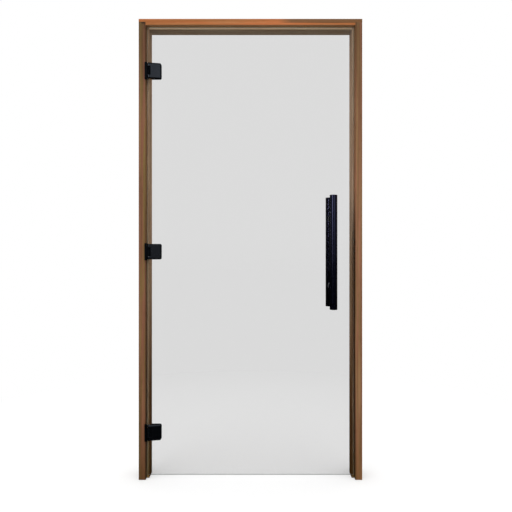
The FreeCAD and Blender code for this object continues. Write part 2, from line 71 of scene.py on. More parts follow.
# %% [markdown]
# The camera looks straight at the door, as in the photograph. Its distance follows from two
# lengths: how wide the frame is in the picture, and how long the lens is. The lens is level, so
# upright boards stay upright. A lens can also be shifted, which moves the picture without tilting
# the camera. The photograph was taken from higher up with a large shift. Other views keep the
# shift, and a large one would cut the door off there, so this camera stands lower and shifts only a
# little.

# %% Camera
PICTURE_SIDE_PX = 512
FRAME_LEFT_PX = 138.65
FRAME_RIGHT_PX = 362.3
FRAME_TOP_PX = 18.75
FOCAL_PX = 546
SENSOR_WIDTH_MM = 36
SHIFT_DOWN = 0.02

FRONT_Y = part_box("hinge_jamb")[0].y
FLOOR_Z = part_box("hinge_jamb")[0].z

px_per_metre = (FRAME_RIGHT_PX - FRAME_LEFT_PX) / (cad_high.x - cad_low.x)
horizon_px = PICTURE_SIDE_PX * (0.5 - SHIFT_DOWN)
camera_x = cad_low.x + (PICTURE_SIDE_PX / 2 - FRAME_LEFT_PX) / px_per_metre
camera_y = FRONT_Y - FOCAL_PX / px_per_metre
camera_z = cad_high.z - (horizon_px - FRAME_TOP_PX) / px_per_metre

lens = bpy.data.cameras.new("camera")
lens.sensor_width = SENSOR_WIDTH_MM
lens.lens = FOCAL_PX / PICTURE_SIDE_PX * SENSOR_WIDTH_MM
lens.shift_y = -SHIFT_DOWN
camera = bpy.data.objects.new("camera", lens)
camera.location = (camera_x, camera_y, camera_z)
camera.rotation_euler = (math.radians(90), 0, 0)
bpy.context.scene.collection.objects.link(camera)
bpy.context.scene.camera = camera
print("camera at", [round(value, 3) for value in camera.location], "lens", round(lens.lens, 1))

# %% [markdown]
# Lights and materials are built from nodes in code, so a few short helpers save many lines. The
# first adds a node and sets its inputs, where an input is either a plain value or another node's
# output. The others are nodes that come up again and again: arithmetic, the parts of a vector, a
# range turned into another range, and a blend of two values.

# %% Helpers for nodes
def add(tree, kind, inputs=None, **settings):
    """Adds a node. The keys of inputs are socket names or numbers."""
    made = tree.nodes.new(f"ShaderNode{kind}")
    for name, value in settings.items():
        setattr(made, name, value)
    for name, value in (inputs or {}).items():
        join(tree, value, made.inputs[name])
    return made


def join(tree, value, socket):
    """Gives a socket a plain value or another node's output."""
    if isinstance(value, bpy.types.NodeSocket):
        tree.links.new(value, socket)
    else:
        socket.default_value = value


def calc(tree, operation, first, second=0.0, third=0.0, clamp=False):
    values = {0: first, 1: second, 2: third}
    return add(tree, "Math", values, operation=operation, use_clamp=clamp).outputs[0]


def parts(tree, vector):
    """The X, Y and Z of a vector."""
    return add(tree, "SeparateXYZ", {0: vector}).outputs


def remap(tree, value, low, high, new_low=0.0, new_high=1.0):
    values = {"Value": value, "From Min": low, "From Max": high}
    values.update({"To Min": new_low, "To Max": new_high})
    return add(tree, "MapRange", values).outputs["Result"]


def blend_values(tree, factor, first, second):
    return add(tree, "Mix", {0: factor, 2: first, 3: second}, data_type="FLOAT").outputs[0]

# %% [markdown]
# A studio for a product on white is all one background, whose strength depends on its direction and
# on the ray that meets it. Its light on matt surfaces comes from above more than from below. A
# direction's Z says how high it is: 0 is the horizon and 1 is straight up.

# %% Light from all round
SKY_LIGHT = 1.3
GROUND_LIGHT = 0.58
LIGHT_HEIGHTS = (-0.5, 0.8)

world = bpy.data.worlds.new("studio")
bpy.context.scene.world = world
world.use_nodes = True
sky = world.node_tree
sky.nodes.clear()
axes = parts(sky, add(sky, "TexCoord").outputs["Generated"])
light = remap(sky, axes["Z"], *LIGHT_HEIGHTS, GROUND_LIGHT, SKY_LIGHT)
print("world: light", GROUND_LIGHT, "to", SKY_LIGHT)

# %% [markdown]
# What shiny surfaces mirror is painted separately, because it is what makes black metal look right.
# The round handle bars show two tall soft boxes as upright streaks, which tells the eye that they
# are round and satin. A streak's place on the bar gives the bearing of its soft box: the strong
# one, a third of the way across, comes from the left, and the weak one from the right. Between them
# is a dim wall. The boxes fade out at the horizon and the wall just below it, so the streaks get
# weaker towards the foot of the bars and the lowest hinge is the blackest. Straight behind the door
# the room is darker still: at a grazing angle even black paint is a good mirror, and a white
# backdrop there would draw a pale line along the handle.

# %% The room that metal and glass mirror
DARK_FLOOR = 0.002
DIM_WALL = 0.16
WALL_FOOT = (-0.06, 0.015)
BOX_HALF_WIDTH = math.radians(9)
BOX_RIM = math.radians(4)
BOX_TOP = (0.55, 0.35)
BOX_FOOT = (-0.01, 0.09)
SOFT_BOXES = [(math.radians(-37), 3.6), (math.radians(22), 1.05)]
BACKDROP_EDGE = (0.75, 0.95)
BACKDROP_SHINE = 0.05

mirrored_room = DIM_WALL
forward = calc(sky, "MULTIPLY", axes["Y"], -1.0)
bearing = calc(sky, "ARCTAN2", axes["X"], forward)
tall = remap(sky, axes["Z"], *BOX_TOP)
tall = calc(sky, "MULTIPLY", tall, remap(sky, axes["Z"], *BOX_FOOT))
for box_bearing, box_strength in SOFT_BOXES:
    aside = calc(sky, "ABSOLUTE", calc(sky, "SUBTRACT", bearing, box_bearing))
    box = remap(sky, aside, BOX_HALF_WIDTH + BOX_RIM, BOX_HALF_WIDTH, 0.0, box_strength)
    mirrored_room = calc(sky, "MULTIPLY_ADD", box, tall, mirrored_room)
above_foot = remap(sky, axes["Z"], *WALL_FOOT)
mirrored_room = blend_values(sky, above_foot, DARK_FLOOR, mirrored_room)
backdrop = remap(sky, axes["Y"], *BACKDROP_EDGE)
mirrored_room = blend_values(sky, backdrop, mirrored_room, BACKDROP_SHINE)
print(len(SOFT_BOXES), "soft boxes to mirror")

# %% [markdown]
# Which of these a ray meets depends on its way so far: straight from the camera or through glass it
# is plain white, by a shiny surface the mirrored room, and by a matt one the light. The depths in a
# Light Path node count those turns, and as they are whole numbers, a half parts none from one. Rays
# that Cycles sends to a light by itself carry no type, so this background isn't sampled as a light,
# and only rays that reach it by bouncing count.

# %% The background for each kind of ray
WHITE = (1.0, 1.0, 1.0, 1.0)
HALF_A_TURN = 0.5

rays = add(sky, "LightPath").outputs
not_matt = calc(sky, "LESS_THAN", rays["Diffuse Depth"], HALF_A_TURN)
viewed = calc(sky, "MAXIMUM", rays["Is Camera Ray"], rays["Is Glossy Ray"])
viewed = calc(sky, "MULTIPLY", viewed, not_matt)
mirrored = calc(sky, "GREATER_THAN", rays["Glossy Depth"], HALF_A_TURN)
seen = blend_values(sky, mirrored, 1.0, mirrored_room)
strength = blend_values(sky, viewed, light, seen)
plain = add(sky, "Background", {"Color": WHITE, "Strength": strength}).outputs[0]
add(sky, "OutputWorld", {"Surface": plain})
world.cycles.sampling_method = "NONE"
bpy.context.scene.view_settings.view_transform = "Standard"
print("world of", len(sky.nodes), "nodes")

# %% [markdown]
# The soft boxes' light comes from area lamps left and right of the camera, which cast soft shadows,
# and a third lamp behind the door lights its inner side from above. The background already paints
# their mirror images, so the lamps themselves show in nothing: not to the camera, not through glass
# and not in a shiny surface.

# %% Lamps
def soft_box(name, place, size, watts):
    data = bpy.data.lights.new(name, "AREA")
    data.shape = "RECTANGLE"
    data.size, data.size_y = size
    data.energy = watts
    lamp = bpy.data.objects.new(name, data)
    lamp.location = place
    lamp.rotation_euler = (door_middle - lamp.location).to_track_quat("-Z", "Y").to_euler()
    lamp.visible_camera = False
    lamp.visible_glossy = False
    lamp.visible_transmission = False
    bpy.context.scene.collection.objects.link(lamp)
    print(name, "at", place, watts, "W")


door_middle = (cad_low + cad_high) / 2
soft_box("left_soft_box", place=(-3.0, -5.0, 1.15), size=(2.0, 2.9), watts=44)
soft_box("right_soft_box", place=(2.8, -5.0, 1.15), size=(2.0, 2.9), watts=22)
soft_box("rear_soft_box", place=(0.3, 2.4, 1.7), size=(1.6, 1.2), watts=8)

# %% [markdown]
# Every material starts in the same way: with a Principled shader and with the coordinates of the
# object it is on, from which all patterns are made. They are in metres too, so a pattern has a real
# size.

# %% The start of a material
def start_material(name):
    """Makes an empty material; gives it, its tree, its shader and the object's own coordinates."""
    material = bpy.data.materials.new(name)
    material.use_nodes = True
    tree = material.node_tree
    shader = tree.nodes["Principled BSDF"]
    place = add(tree, "TexCoord").outputs
    return material, tree, shader, place


def length(tree, vector):
    return add(tree, "VectorMath", {0: vector}, operation="LENGTH").outputs["Value"]

# %% [markdown]
# The floor is white like the backdrop and catches the soft shadow round the feet. What the camera
# sees of it is a glow plus real light. Close to the door a good part is real light, so the shadow
# shows, and further away it is all glow, so the floor's edge can't be told from the white behind
# it. The glow fills up whatever the real light leaves short of white. The light that the floor
# sends up to the door is weaker, so the undersides stay dark, and to shiny surfaces the floor is
# nearly black, like the foot of the mirrored room.

# %% Floor
FLOOR_SIDE = 40
FLOOR_COLOUR = 0.7
FLOOR_BOUNCE = 0.3
FLOOR_SHINE = 0.01
FLOOR_LIT = 0.79
GLOW_NEAR = 0.22
GLOW_GROWS = (0.6, 2.0)

bpy.ops.mesh.primitive_plane_add(size=FLOOR_SIDE, location=(door_middle.x, 0, FLOOR_Z))
floor = bpy.context.active_object
floor.name = "studio_floor"
floor_paint, tree, shader, place = start_material("studio_floor")
tree.nodes.remove(shader)
glow_share = remap(tree, length(tree, place["Object"]), *GLOW_GROWS, GLOW_NEAR, 1.0)
missing = calc(tree, "MULTIPLY_ADD", glow_share, FLOOR_LIT, 1.0 - FLOOR_LIT)
strength = calc(tree, "DIVIDE", missing, glow_share)
rays = add(tree, "LightPath").outputs
mirrored = calc(tree, "GREATER_THAN", rays["Glossy Depth"], HALF_A_TURN)
turned = calc(tree, "ADD", rays["Glossy Depth"], rays["Diffuse Depth"])
seen = calc(tree, "ADD", rays["Is Camera Ray"], rays["Is Transmission Ray"], clamp=True)
seen = calc(tree, "MULTIPLY", seen, calc(tree, "LESS_THAN", turned, HALF_A_TURN))
grey = blend_values(tree, mirrored, FLOOR_BOUNCE, FLOOR_SHINE)
grey = blend_values(tree, seen, grey, FLOOR_COLOUR)
matt = add(tree, "BsdfDiffuse", {"Color": grey}).outputs[0]
glow = add(tree, "Emission", {"Color": WHITE, "Strength": strength}).outputs[0]
glow_share = calc(tree, "MULTIPLY", seen, glow_share)
both = add(tree, "MixShader", {0: glow_share, 1: matt, 2: glow}).outputs[0]
tree.links.new(both, tree.nodes["Material Output"].inputs["Surface"])
floor_paint.cycles.emission_sampling = "NONE"
floor.data.materials.append(floor_paint)
floor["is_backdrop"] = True
print("floor at", round(FLOOR_Z, 3))

# %% [markdown]
# An effect that several materials share is written once, as a node group with named inputs and
# outputs, and each material places it with its own values. What fills the groups is mostly noise.
# Where the position that it reads is scaled down along one axis, it is drawn out along that axis.

# %% Helpers for groups and noise
def start_group(name, inputs, outputs):
    """Makes a node group from lists of its sockets; gives its tree, its inputs and its outputs."""
    group = bpy.data.node_groups.new(name, "ShaderNodeTree")
    for label, kind in inputs:
        group.interface.new_socket(label, in_out="INPUT", socket_type=f"NodeSocket{kind}")
    for label, kind in outputs:
        group.interface.new_socket(label, in_out="OUTPUT", socket_type=f"NodeSocket{kind}")
    start = group.nodes.new("NodeGroupInput")
    end = group.nodes.new("NodeGroupOutput")
    print("group", name, "puts out", ", ".join(label for label, kind in outputs))
    return group, start.outputs, end.inputs


def noise(tree, vector, scale, detail=2.0, roughness=0.5):
    values = {"Vector": vector, "Scale": scale, "Detail": detail, "Roughness": roughness}
    return add(tree, "TexNoise", values).outputs["Fac"]


def scaled(tree, vector, factors):
    """A vector times three factors, which stretches the texture that reads it."""
    return add(tree, "VectorMath", {0: vector, 1: factors}, operation="MULTIPLY").outputs[0]


def centred(tree, value):
    """Noise moved from round a half to round zero."""
    return calc(tree, "SUBTRACT", value, 0.5)

# %% [markdown]
# Cedar shows narrow, nearly straight growth rings, broad streaks that run from olive brown to red,
# short dark pores and fine fibres. A flat picture of wood would not fit the ends of the boards, so
# the grain is solid: rings are distances from a line, the heart of the tree, that runs along the
# board and outside it. Slow noise bends them, and each ring gets a tone of its own. The group reads
# a position whose X runs along the grain, so one group serves upright and level boards.

# %% Growth rings
BEND_SCALE = 10
BEND_DEPTH = 0.012
RING_SHARPNESS = 2.5
FAINTEST_RING = 0.3

board_grain, given, out = start_group(
    "board_grain",
    [
        ("Board Position", "Vector"),
        ("Ring Width", "Float"),
        ("Ring Depth", "Float"),
        ("Streak Depth", "Float"),
        ("Pale Wood", "Color"),
        ("Red Wood", "Color"),
        ("Dark Wood", "Color"),
    ],
    [("Color", "Color"), ("Roughness", "Float"), ("Height", "Float")],
)
spot = given["Board Position"]
bend = noise(board_grain, scaled(board_grain, spot, (0.12, 1, 1)), BEND_SCALE)
bend = calc(board_grain, "MULTIPLY", centred(board_grain, bend), BEND_DEPTH)
radius = length(board_grain, scaled(board_grain, spot, (0, 1, 1)))
age = calc(board_grain, "DIVIDE", calc(board_grain, "ADD", radius, bend), given["Ring Width"])
ring = calc(board_grain, "POWER", calc(board_grain, "FRACT", age), RING_SHARPNESS)
year = calc(board_grain, "FLOOR", age)
tone = add(board_grain, "TexWhiteNoise", {"W": year}, noise_dimensions="1D").outputs["Value"]
ring = calc(board_grain, "MULTIPLY", ring, remap(board_grain, tone, 0, 1, FAINTEST_RING, 1))
ring = calc(board_grain, "MULTIPLY", ring, given["Ring Depth"])
print("rings made from", len(board_grain.nodes), "nodes")

# %% [markdown]
# Everything else in the grain is noise drawn out along the board: broad streaks, a slow change
# between pale and red wood, short pores and fine fibres. Rings, streaks, pores and fibres together
# darken the wood, and they also give the height for a bump and a roughness that varies.

# %% Streaks, pores and fibres
STREAK_SCALE = 95
STREAK_EDGES = (0.35, 0.65)
RED_EDGES = (0.44, 0.56)
FIBRE_SCALE = 1400
FIBRE_EDGES = (0.3, 0.7)
FIBRE_DEPTH = 0.35
PORE_SCALE = 520
PORE_EDGES = (0.62, 0.72)
PORE_DEPTH = 0.4
RING_LIFT = 0.6
WOOD_ROUGHNESS = (0.48, 0.64)


def blend_colours(tree, factor, first, second, blend="MIX"):
    """Mixes two colours. A colour input of a Mix node goes by its number."""
    values = {0: factor, 6: first, 7: second}
    return add(tree, "Mix", values, data_type="RGBA", blend_type=blend).outputs[2]


streak = noise(board_grain, scaled(board_grain, spot, (0.02, 1, 1)), STREAK_SCALE, detail=3)
streak = remap(board_grain, streak, *STREAK_EDGES)
streak = calc(board_grain, "MULTIPLY", streak, given["Streak Depth"])
redness = noise(board_grain, scaled(board_grain, spot, (0.03, 1.1, 1.1)), STREAK_SCALE)
redness = remap(board_grain, redness, *RED_EDGES)
fibre = noise(board_grain, scaled(board_grain, spot, (0.015, 1, 1)), FIBRE_SCALE, roughness=0.7)
pore = noise(board_grain, scaled(board_grain, spot, (0.04, 1, 1)), PORE_SCALE, detail=1)
pore = remap(board_grain, pore, *PORE_EDGES, 0, PORE_DEPTH)
dark = calc(board_grain, "ADD", calc(board_grain, "ADD", ring, streak), pore)
fibre_tone = centred(board_grain, fibre)
dark = calc(board_grain, "MULTIPLY_ADD", fibre_tone, FIBRE_DEPTH, dark, clamp=True)
colour = blend_colours(board_grain, redness, given["Pale Wood"], given["Red Wood"])
colour = blend_colours(board_grain, dark, colour, given["Dark Wood"])
rough = remap(board_grain, fibre, *FIBRE_EDGES, *WOOD_ROUGHNESS)
lift = calc(board_grain, "MULTIPLY_ADD", ring, RING_LIFT, fibre)
board_grain.links.new(colour, out["Color"])
board_grain.links.new(rough, out["Roughness"])
board_grain.links.new(calc(board_grain, "SUBTRACT", lift, pore), out["Height"])
print("the whole grain has", len(board_grain.nodes), "nodes")

# %% [markdown]
# The lower ends of the upright boards are darker than the rest: painted shade, deeper towards
# the floor. It could be painted on each board, but four boards need it, so it is a group that puts
# out a mask. The mask follows the height above the floor, and noise makes its edge uneven.

# %% Painted shade near the floor
SHADE_EDGE_SCALE = 60
SHADE_EDGE_DEPTH = 0.16

painted_foot_shade, given, out = start_group(
    "painted_foot_shade",
    [("Position", "Vector"), ("Reach", "Float"), ("Depth", "Float")],
    [("Mask", "Float")],
)
spot = given["Position"]
uneven = noise(painted_foot_shade, scaled(painted_foot_shade, spot, (1, 1, 0.15)), SHADE_EDGE_SCALE)
height = calc(painted_foot_shade, "SUBTRACT", parts(painted_foot_shade, spot)["Z"], FLOOR_Z)
height = calc(painted_foot_shade, "MULTIPLY_ADD", uneven, SHADE_EDGE_DEPTH, height)
lit_share = calc(painted_foot_shade, "DIVIDE", height, given["Reach"], clamp=True)
shaded_share = calc(painted_foot_shade, "SUBTRACT", 1.0, lit_share)
painted_foot_shade.links.new(calc(painted_foot_shade, "MULTIPLY", shaded_share, given["Depth"]), out["Mask"])

# %% [markdown]
# Both groups for the boards are ready. A material now has to place them, feed its shader and go on
# to its pieces. Colours are written as a picture editor shows them and turned into the linear
# values that a shader reckons with.

# %% Helpers for finished materials
def use_group(tree, group, inputs):
    """Places a group in a material with its own values, and gives its outputs."""
    made = add(tree, "Group")
    made.node_tree = group
    for name, value in inputs.items():
        join(tree, value, made.inputs[name])
    return made.outputs


def feed(tree, shader, **sockets):
    """Sets or joins the shader's sockets; an underscore stands for a space in a socket's name."""
    for name, value in sockets.items():
        join(tree, value, shader.inputs[name.replace("_", " ")])


def linear(red, green, blue):
    """A colour as a picture editor shows it, 0 to 255, as the linear values of a shader."""
    values = []
    for part in (red, green, blue):
        share = part / 255
        values.append(share / 12.92 if share <= 0.04045 else ((share + 0.055) / 1.055) ** 2.4)
    return (*values, 1.0)


def dress(names, material):
    """Gives CAD nodes a material."""
    for name in names:
        mesh = nodes[name].data
        mesh.materials.clear()
        mesh.materials.append(material)
    print(material.name, "on", ", ".join(names))

# %% [markdown]
# Each board gets the same group with its own heart line, its own colours and its own depth of
# grain. The bump is fine, like planed wood under a coat of oil, and upright boards get painted
# shade at the foot.

# %% Cedar
UPRIGHT = (0, math.radians(90), 0)
LEVEL = (0, 0, 0)
OILED_SHEEN = 0.3
DRY_SHEEN = 0.0
RING_WIDTH = 0.003
GRAIN_BUMP = 0.35
GRAIN_HEIGHT = 0.0003
FOOT_SHADE_TINT = linear(188, 190, 122)
FOOT_SHADE_REACH = 0.4
FOOT_SHADE_DEPTH = 0.85


def cedar(name, turn, heart, colours, sheen=OILED_SHEEN, rings=0.4, streaks=0.6):
    """Gives a board its wood; returns its tree, shader and coordinates, to add a mark."""
    material, tree, shader, place = start_material(f"{name}_cedar")
    values = {"Vector": place["Object"], "Location": heart, "Rotation": turn}
    spot = add(tree, "Mapping", values).outputs[0]
    pale, red, dark = colours
    wood = use_group(tree, board_grain, {
        "Board Position": spot,
        "Ring Width": RING_WIDTH,
        "Ring Depth": rings,
        "Streak Depth": streaks,
        "Pale Wood": linear(*pale),
        "Red Wood": linear(*red),
        "Dark Wood": linear(*dark),
    })
    colour = wood["Color"]
    # Painted shade: upright boards get darker towards the floor.
    if turn == UPRIGHT:
        foot_shade = use_group(tree, painted_foot_shade, {
            "Position": place["Object"],
            "Reach": FOOT_SHADE_REACH,
            "Depth": FOOT_SHADE_DEPTH,
        })
        colour = blend_colours(tree, foot_shade["Mask"], colour, FOOT_SHADE_TINT, "MULTIPLY")
    values = {"Strength": GRAIN_BUMP, "Distance": GRAIN_HEIGHT, "Height": wood["Height"]}
    bump = add(tree, "Bump", values).outputs[0]
    feed(
        tree,
        shader,
        Base_Color=colour,
        Roughness=wood["Roughness"],
        Normal=bump,
        Specular_IOR_Level=sheen,
    )
    dress([name], material)
    return tree, shader, place["Object"]


print("growth rings are", RING_WIDTH, "apart")

# %% [markdown]
# Boards of one frame come from different planks. The head is a bright orange plank, the jambs are
# browner, and the stops are thin strips of paler wood that were left without oil, so they don't
# shine. The head stop is paler still, with fainter grain: painted light, which makes up for the
# shade under the head. Each has three colours: pale, red and dark wood.

# %% The six boards
HINGE_JAMB_WOOD = ((138, 110, 62), (145, 95, 70), (88, 59, 25))
STRIKE_JAMB_WOOD = ((162, 122, 82), (168, 113, 84), (103, 70, 37))
STOP_WOOD = ((220, 190, 156), (206, 166, 132), (154, 124, 92))
HEAD_WOOD = ((201, 132, 80), (203, 118, 66), (153, 91, 38))
# Painted light: the head stop is paler than the other stops, to make up for the shade under the
# head.
HEAD_STOP_LIT_WOOD = ((242, 222, 188), (234, 204, 166), (205, 178, 138))

hinge_jamb_wood = cedar("hinge_jamb", UPRIGHT, (0.3, 0.16, 0.07), HINGE_JAMB_WOOD)
strike_jamb_wood = cedar("strike_jamb", UPRIGHT, (0.7, -1.09, 0.05), STRIKE_JAMB_WOOD)
head_wood = cedar("head_jamb", LEVEL, (0.2, 0.12, -1.13), HEAD_WOOD)
hinge_stop_wood = cedar("hinge_stop", UPRIGHT, (0.1, 0.1, 0.12), STOP_WOOD, DRY_SHEEN)
strike_stop_wood = cedar("strike_stop", UPRIGHT, (0.5, -1.03, 0.14), STOP_WOOD, DRY_SHEEN)
head_stop_wood = cedar(
    "head_stop",
    LEVEL,
    (0.6, 0.16, -1.08),
    HEAD_STOP_LIT_WOOD,
    DRY_SHEEN,
    rings=0.2,
    streaks=0.2,
)

# %% [markdown]
# Some marks belong to single boards. Each is a mask in the board's own material, made from a place
# on the board or the way a surface faces, and it tints the grain under it. A mark goes over
# whatever feeds the board's colour so far, so several can follow each other.
#
# The head comes first. At its right end the upper part is darker heartwood with a slightly wavy
# edge, and its underside is browner than the front.

# %% Marks on the head
HEARTWOOD = linear(176, 206, 226)
HEARTWOOD_STARTS = (0.6, 0.66)
HEARTWOOD_RISES = (0.0105, 0.013)
EDGE_WAVES = 40
EDGE_WAVE_DEPTH = 0.004
BARE_WOOD = linear(166, 140, 104)
BARE_SHARE = 0.6


def mark(wood, mask, tint, blend="MULTIPLY"):
    """Changes a board's colour by a tint where a mask is 1."""
    tree, shader, place = wood
    colour = shader.inputs["Base Color"].links[0].from_socket
    feed(tree, shader, Base_Color=blend_colours(tree, mask, colour, tint, blend))


def facing(tree, axis, share):
    """How squarely a surface faces along an axis, times a share."""
    normal = parts(tree, add(tree, "TexCoord").outputs["Normal"])[axis]
    return calc(tree, "MULTIPLY", calc(tree, "ABSOLUTE", normal), share)


tree, shader, place = head_wood
head_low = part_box("head_jamb")[0]
axes = parts(tree, place)
waves = noise(tree, scaled(tree, place, (0.1, 1, 1)), EDGE_WAVES)
rise = calc(tree, "MULTIPLY_ADD", waves, EDGE_WAVE_DEPTH, axes["Z"])
above = remap(tree, rise, *[head_low.z + edge for edge in HEARTWOOD_RISES])
beyond = remap(tree, axes["X"], *HEARTWOOD_STARTS)
mark(head_wood, calc(tree, "MULTIPLY", above, beyond), HEARTWOOD)
mark(head_wood, facing(tree, "Z", BARE_SHARE), BARE_WOOD, "MIX")
print("heartwood from", HEARTWOOD_STARTS[0], "along the head")

# %% [markdown]
# The hinge jamb has a small round dark patch just under the head: the distance from a point on the
# board, made uneven by noise. Both jambs get a little darker towards the top.

# %% Marks on the jambs
DARK_PATCH = linear(140, 140, 150)
DARK_PATCH_INSET = 0.019
DARK_PATCH_EDGE = (0.012, 0.006)
DARK_PATCH_WAVES = 300
DARK_PATCH_WAVE_DEPTH = 0.004
DARK_TOP = linear(218, 216, 206)
DARK_TOP_BELOW = (0.4, 0.05)

tree, shader, place = hinge_jamb_wood
jamb_low, jamb_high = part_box("hinge_jamb")
patch_place = (jamb_low.x + DARK_PATCH_INSET, FRONT_Y, jamb_high.z)
from_patch = add(tree, "VectorMath", {0: place, 1: patch_place}, operation="SUBTRACT").outputs[0]
far = length(tree, scaled(tree, from_patch, (0.75, 0.5, 1)))
far = calc(tree, "MULTIPLY_ADD", noise(tree, place, DARK_PATCH_WAVES), DARK_PATCH_WAVE_DEPTH, far)
mark(hinge_jamb_wood, remap(tree, far, *DARK_PATCH_EDGE), DARK_PATCH)
for wood in (hinge_jamb_wood, strike_jamb_wood):
    tree, shader, place = wood
    height = parts(tree, place)["Z"]
    near_top = remap(tree, height, *[jamb_high.z - below for below in DARK_TOP_BELOW])
    mark(wood, near_top, DARK_TOP)
print("stain at", [round(value, 3) for value in patch_place])

# %% [markdown]
# Painted shade darkens the boards round the opening towards the floor: most of all their inner
# sides, and on the strike side from the height of the handle down. The group for the painted shade
# at the foot makes that mask too, with a longer reach. A large depth makes it full almost at once.

# %% Painted shade round the opening
SHADE_TINT = linear(120, 100, 78)
SHADE_REACH = 1.35
SHADE_DEPTH = 1.5
STRIKE_SHADE_DEPTH = 6
LEAST_SHADE = 0.33
HINGE_SIDE_SHARE = 0.35
STRIKE_SIDE_SHARE = 0.7
HEAD_STOP_SHARE = 0.65


def falling(tree, spot, depth):
    """A mask of painted shade that is 0 above its reach and grows to 1 below it."""
    values = {"Position": spot, "Reach": SHADE_REACH, "Depth": depth}
    return calc(tree, "MINIMUM", use_group(tree, painted_foot_shade, values)["Mask"], 1.0)


# Painted shade on the stops: on their inner sides, and on their fronts near the floor, more on the
# strike side.
for wood, depth, share in (
    (hinge_stop_wood, SHADE_DEPTH, HINGE_SIDE_SHARE),
    (strike_stop_wood, STRIKE_SHADE_DEPTH, STRIKE_SIDE_SHARE),
):
    tree, shader, place = wood
    shaded = calc(tree, "MAXIMUM", falling(tree, place, SHADE_DEPTH), LEAST_SHADE)
    mark(wood, facing(tree, "X", shaded), SHADE_TINT)
    front_shade = calc(tree, "MULTIPLY", falling(tree, place, depth), share)
    mark(wood, facing(tree, "Y", front_shade), SHADE_TINT)
# Painted shade on the inner sides of the jambs, towards the floor.
for wood, depth, inwards in (
    (hinge_jamb_wood, SHADE_DEPTH, 1.0),
    (strike_jamb_wood, STRIKE_SHADE_DEPTH, -1.0),
):
    tree, shader, place = wood
    sideways = parts(tree, add(tree, "TexCoord").outputs["Normal"])["X"]
    inner = calc(tree, "MULTIPLY", sideways, inwards, clamp=True)
    mark(wood, calc(tree, "MULTIPLY", inner, falling(tree, place, depth)), SHADE_TINT)
# Painted shade on the head stop's faces that look up and down.
mark(head_stop_wood, facing(head_stop_wood[0], "Z", HEAD_STOP_SHARE), SHADE_TINT)
print("steam up to", SHADE_REACH, "above the floor")

# %% [markdown]
# The hinges, the handle and the catch are powder coated in satin black. Up close such a coat has a
# faint pebble, like the skin of an orange, which breaks up reflections. It is an effect of several
# materials, so it is a group. It puts out a height for the bump and a roughness that varies.

# %% Powder coat
CLOUD_SCALE = 40
CLOUD_DEPTH = 0.12

pebbled_coat, given, out = start_group(
    "pebbled_coat",
    [("Position", "Vector"), ("Pebbles", "Float"), ("Dullness", "Float")],
    [("Roughness", "Float"), ("Height", "Float")],
)
pebbles = noise(pebbled_coat, given["Position"], given["Pebbles"], detail=1)
cloud = noise(pebbled_coat, given["Position"], CLOUD_SCALE, detail=3)
cloud = centred(pebbled_coat, cloud)
rough = calc(pebbled_coat, "MULTIPLY_ADD", cloud, CLOUD_DEPTH, given["Dullness"])
pebbled_coat.links.new(rough, out["Roughness"])
pebbled_coat.links.new(pebbles, out["Height"])

# %% [markdown]
# Each black finish is the coat with its own colour, dullness and size of pebbles, and clouds of a
# darker black. On the real door the shine of the black paint is a little blue, so it is tinted
# here. The handle is blacker and glossier than the hinges. The backs of the pockets in the hinges
# are dull and blacker still: painted shade.

# %% Black finishes
COAT_HEIGHT = 0.0002
SHADE_SCALE = 25
DARKER_BLACK = 0.7
BLUISH = (0.73, 0.83, 1.0, 1.0)
DEEP_BLUISH = (0.5, 0.52, 1.0, 1.0)


def satin_black(name, colour, dullness, pebbles, shine, cast, bumps):
    material, tree, shader, place = start_material(name)
    coat = use_group(tree, pebbled_coat, {
        "Position": place["Object"],
        "Pebbles": pebbles,
        "Dullness": dullness,
    })
    values = {"Strength": bumps, "Distance": COAT_HEIGHT, "Height": coat["Height"]}
    bump = add(tree, "Bump", values).outputs[0]
    shade = noise(tree, place["Object"], SHADE_SCALE)
    darker = [part * DARKER_BLACK for part in linear(*colour)[:3]] + [1.0]
    feed(
        tree,
        shader,
        Base_Color=blend_colours(tree, shade, linear(*colour), darker),
        Roughness=coat["Roughness"],
        Normal=bump,
        Specular_IOR_Level=shine,
        Specular_Tint=cast,
    )
    return material


hinge_black = satin_black(
    "hinge_black", (3, 4, 6), dullness=0.25, pebbles=1100, shine=0.62, cast=BLUISH, bumps=0.08
)
leaf_black = satin_black(
    "leaf_black", (2, 3, 6), dullness=0.12, pebbles=1100, shine=0.4, cast=BLUISH, bumps=0.08
)
# Painted shade: the backs of the pockets are a duller, deeper black than the coat.
pocket_shade_black = satin_black(
    "pocket_shade_black", (1, 1, 2), dullness=0.6, pebbles=1100, shine=0.05, cast=BLUISH, bumps=0.25
)
handle_black = satin_black(
    "handle_black", (2, 2, 5), dullness=0.16, pebbles=1400, shine=0.8, cast=DEEP_BLUISH, bumps=0.06
)
print("four black finishes")

# %% [markdown]
# The hinge leaves shine only as far as their knuckles, which turn inside the clamps and are dull.
# The knuckles are told from the rest of a leaf by their distance from the wall side of the jamb.

# %% Hinges, handle and catch
HINGES = ("top", "middle", "bottom")
SIDES = ("outer", "inner")
ENDS = ("upper", "lower")
KNUCKLE_STARTS = (0.037, 0.039)
DULL_KNUCKLE = 0.95

tree = leaf_black.node_tree
shader = tree.nodes["Principled BSDF"]
from_jamb = parts(tree, add(tree, "TexCoord").outputs["Object"])["X"]
dull = remap(tree, from_jamb, *KNUCKLE_STARTS, 0.0, DULL_KNUCKLE)
leaf_roughness = shader.inputs["Roughness"].links[0].from_socket
feed(tree, shader, Roughness=calc(tree, "MAXIMUM", leaf_roughness, dull))

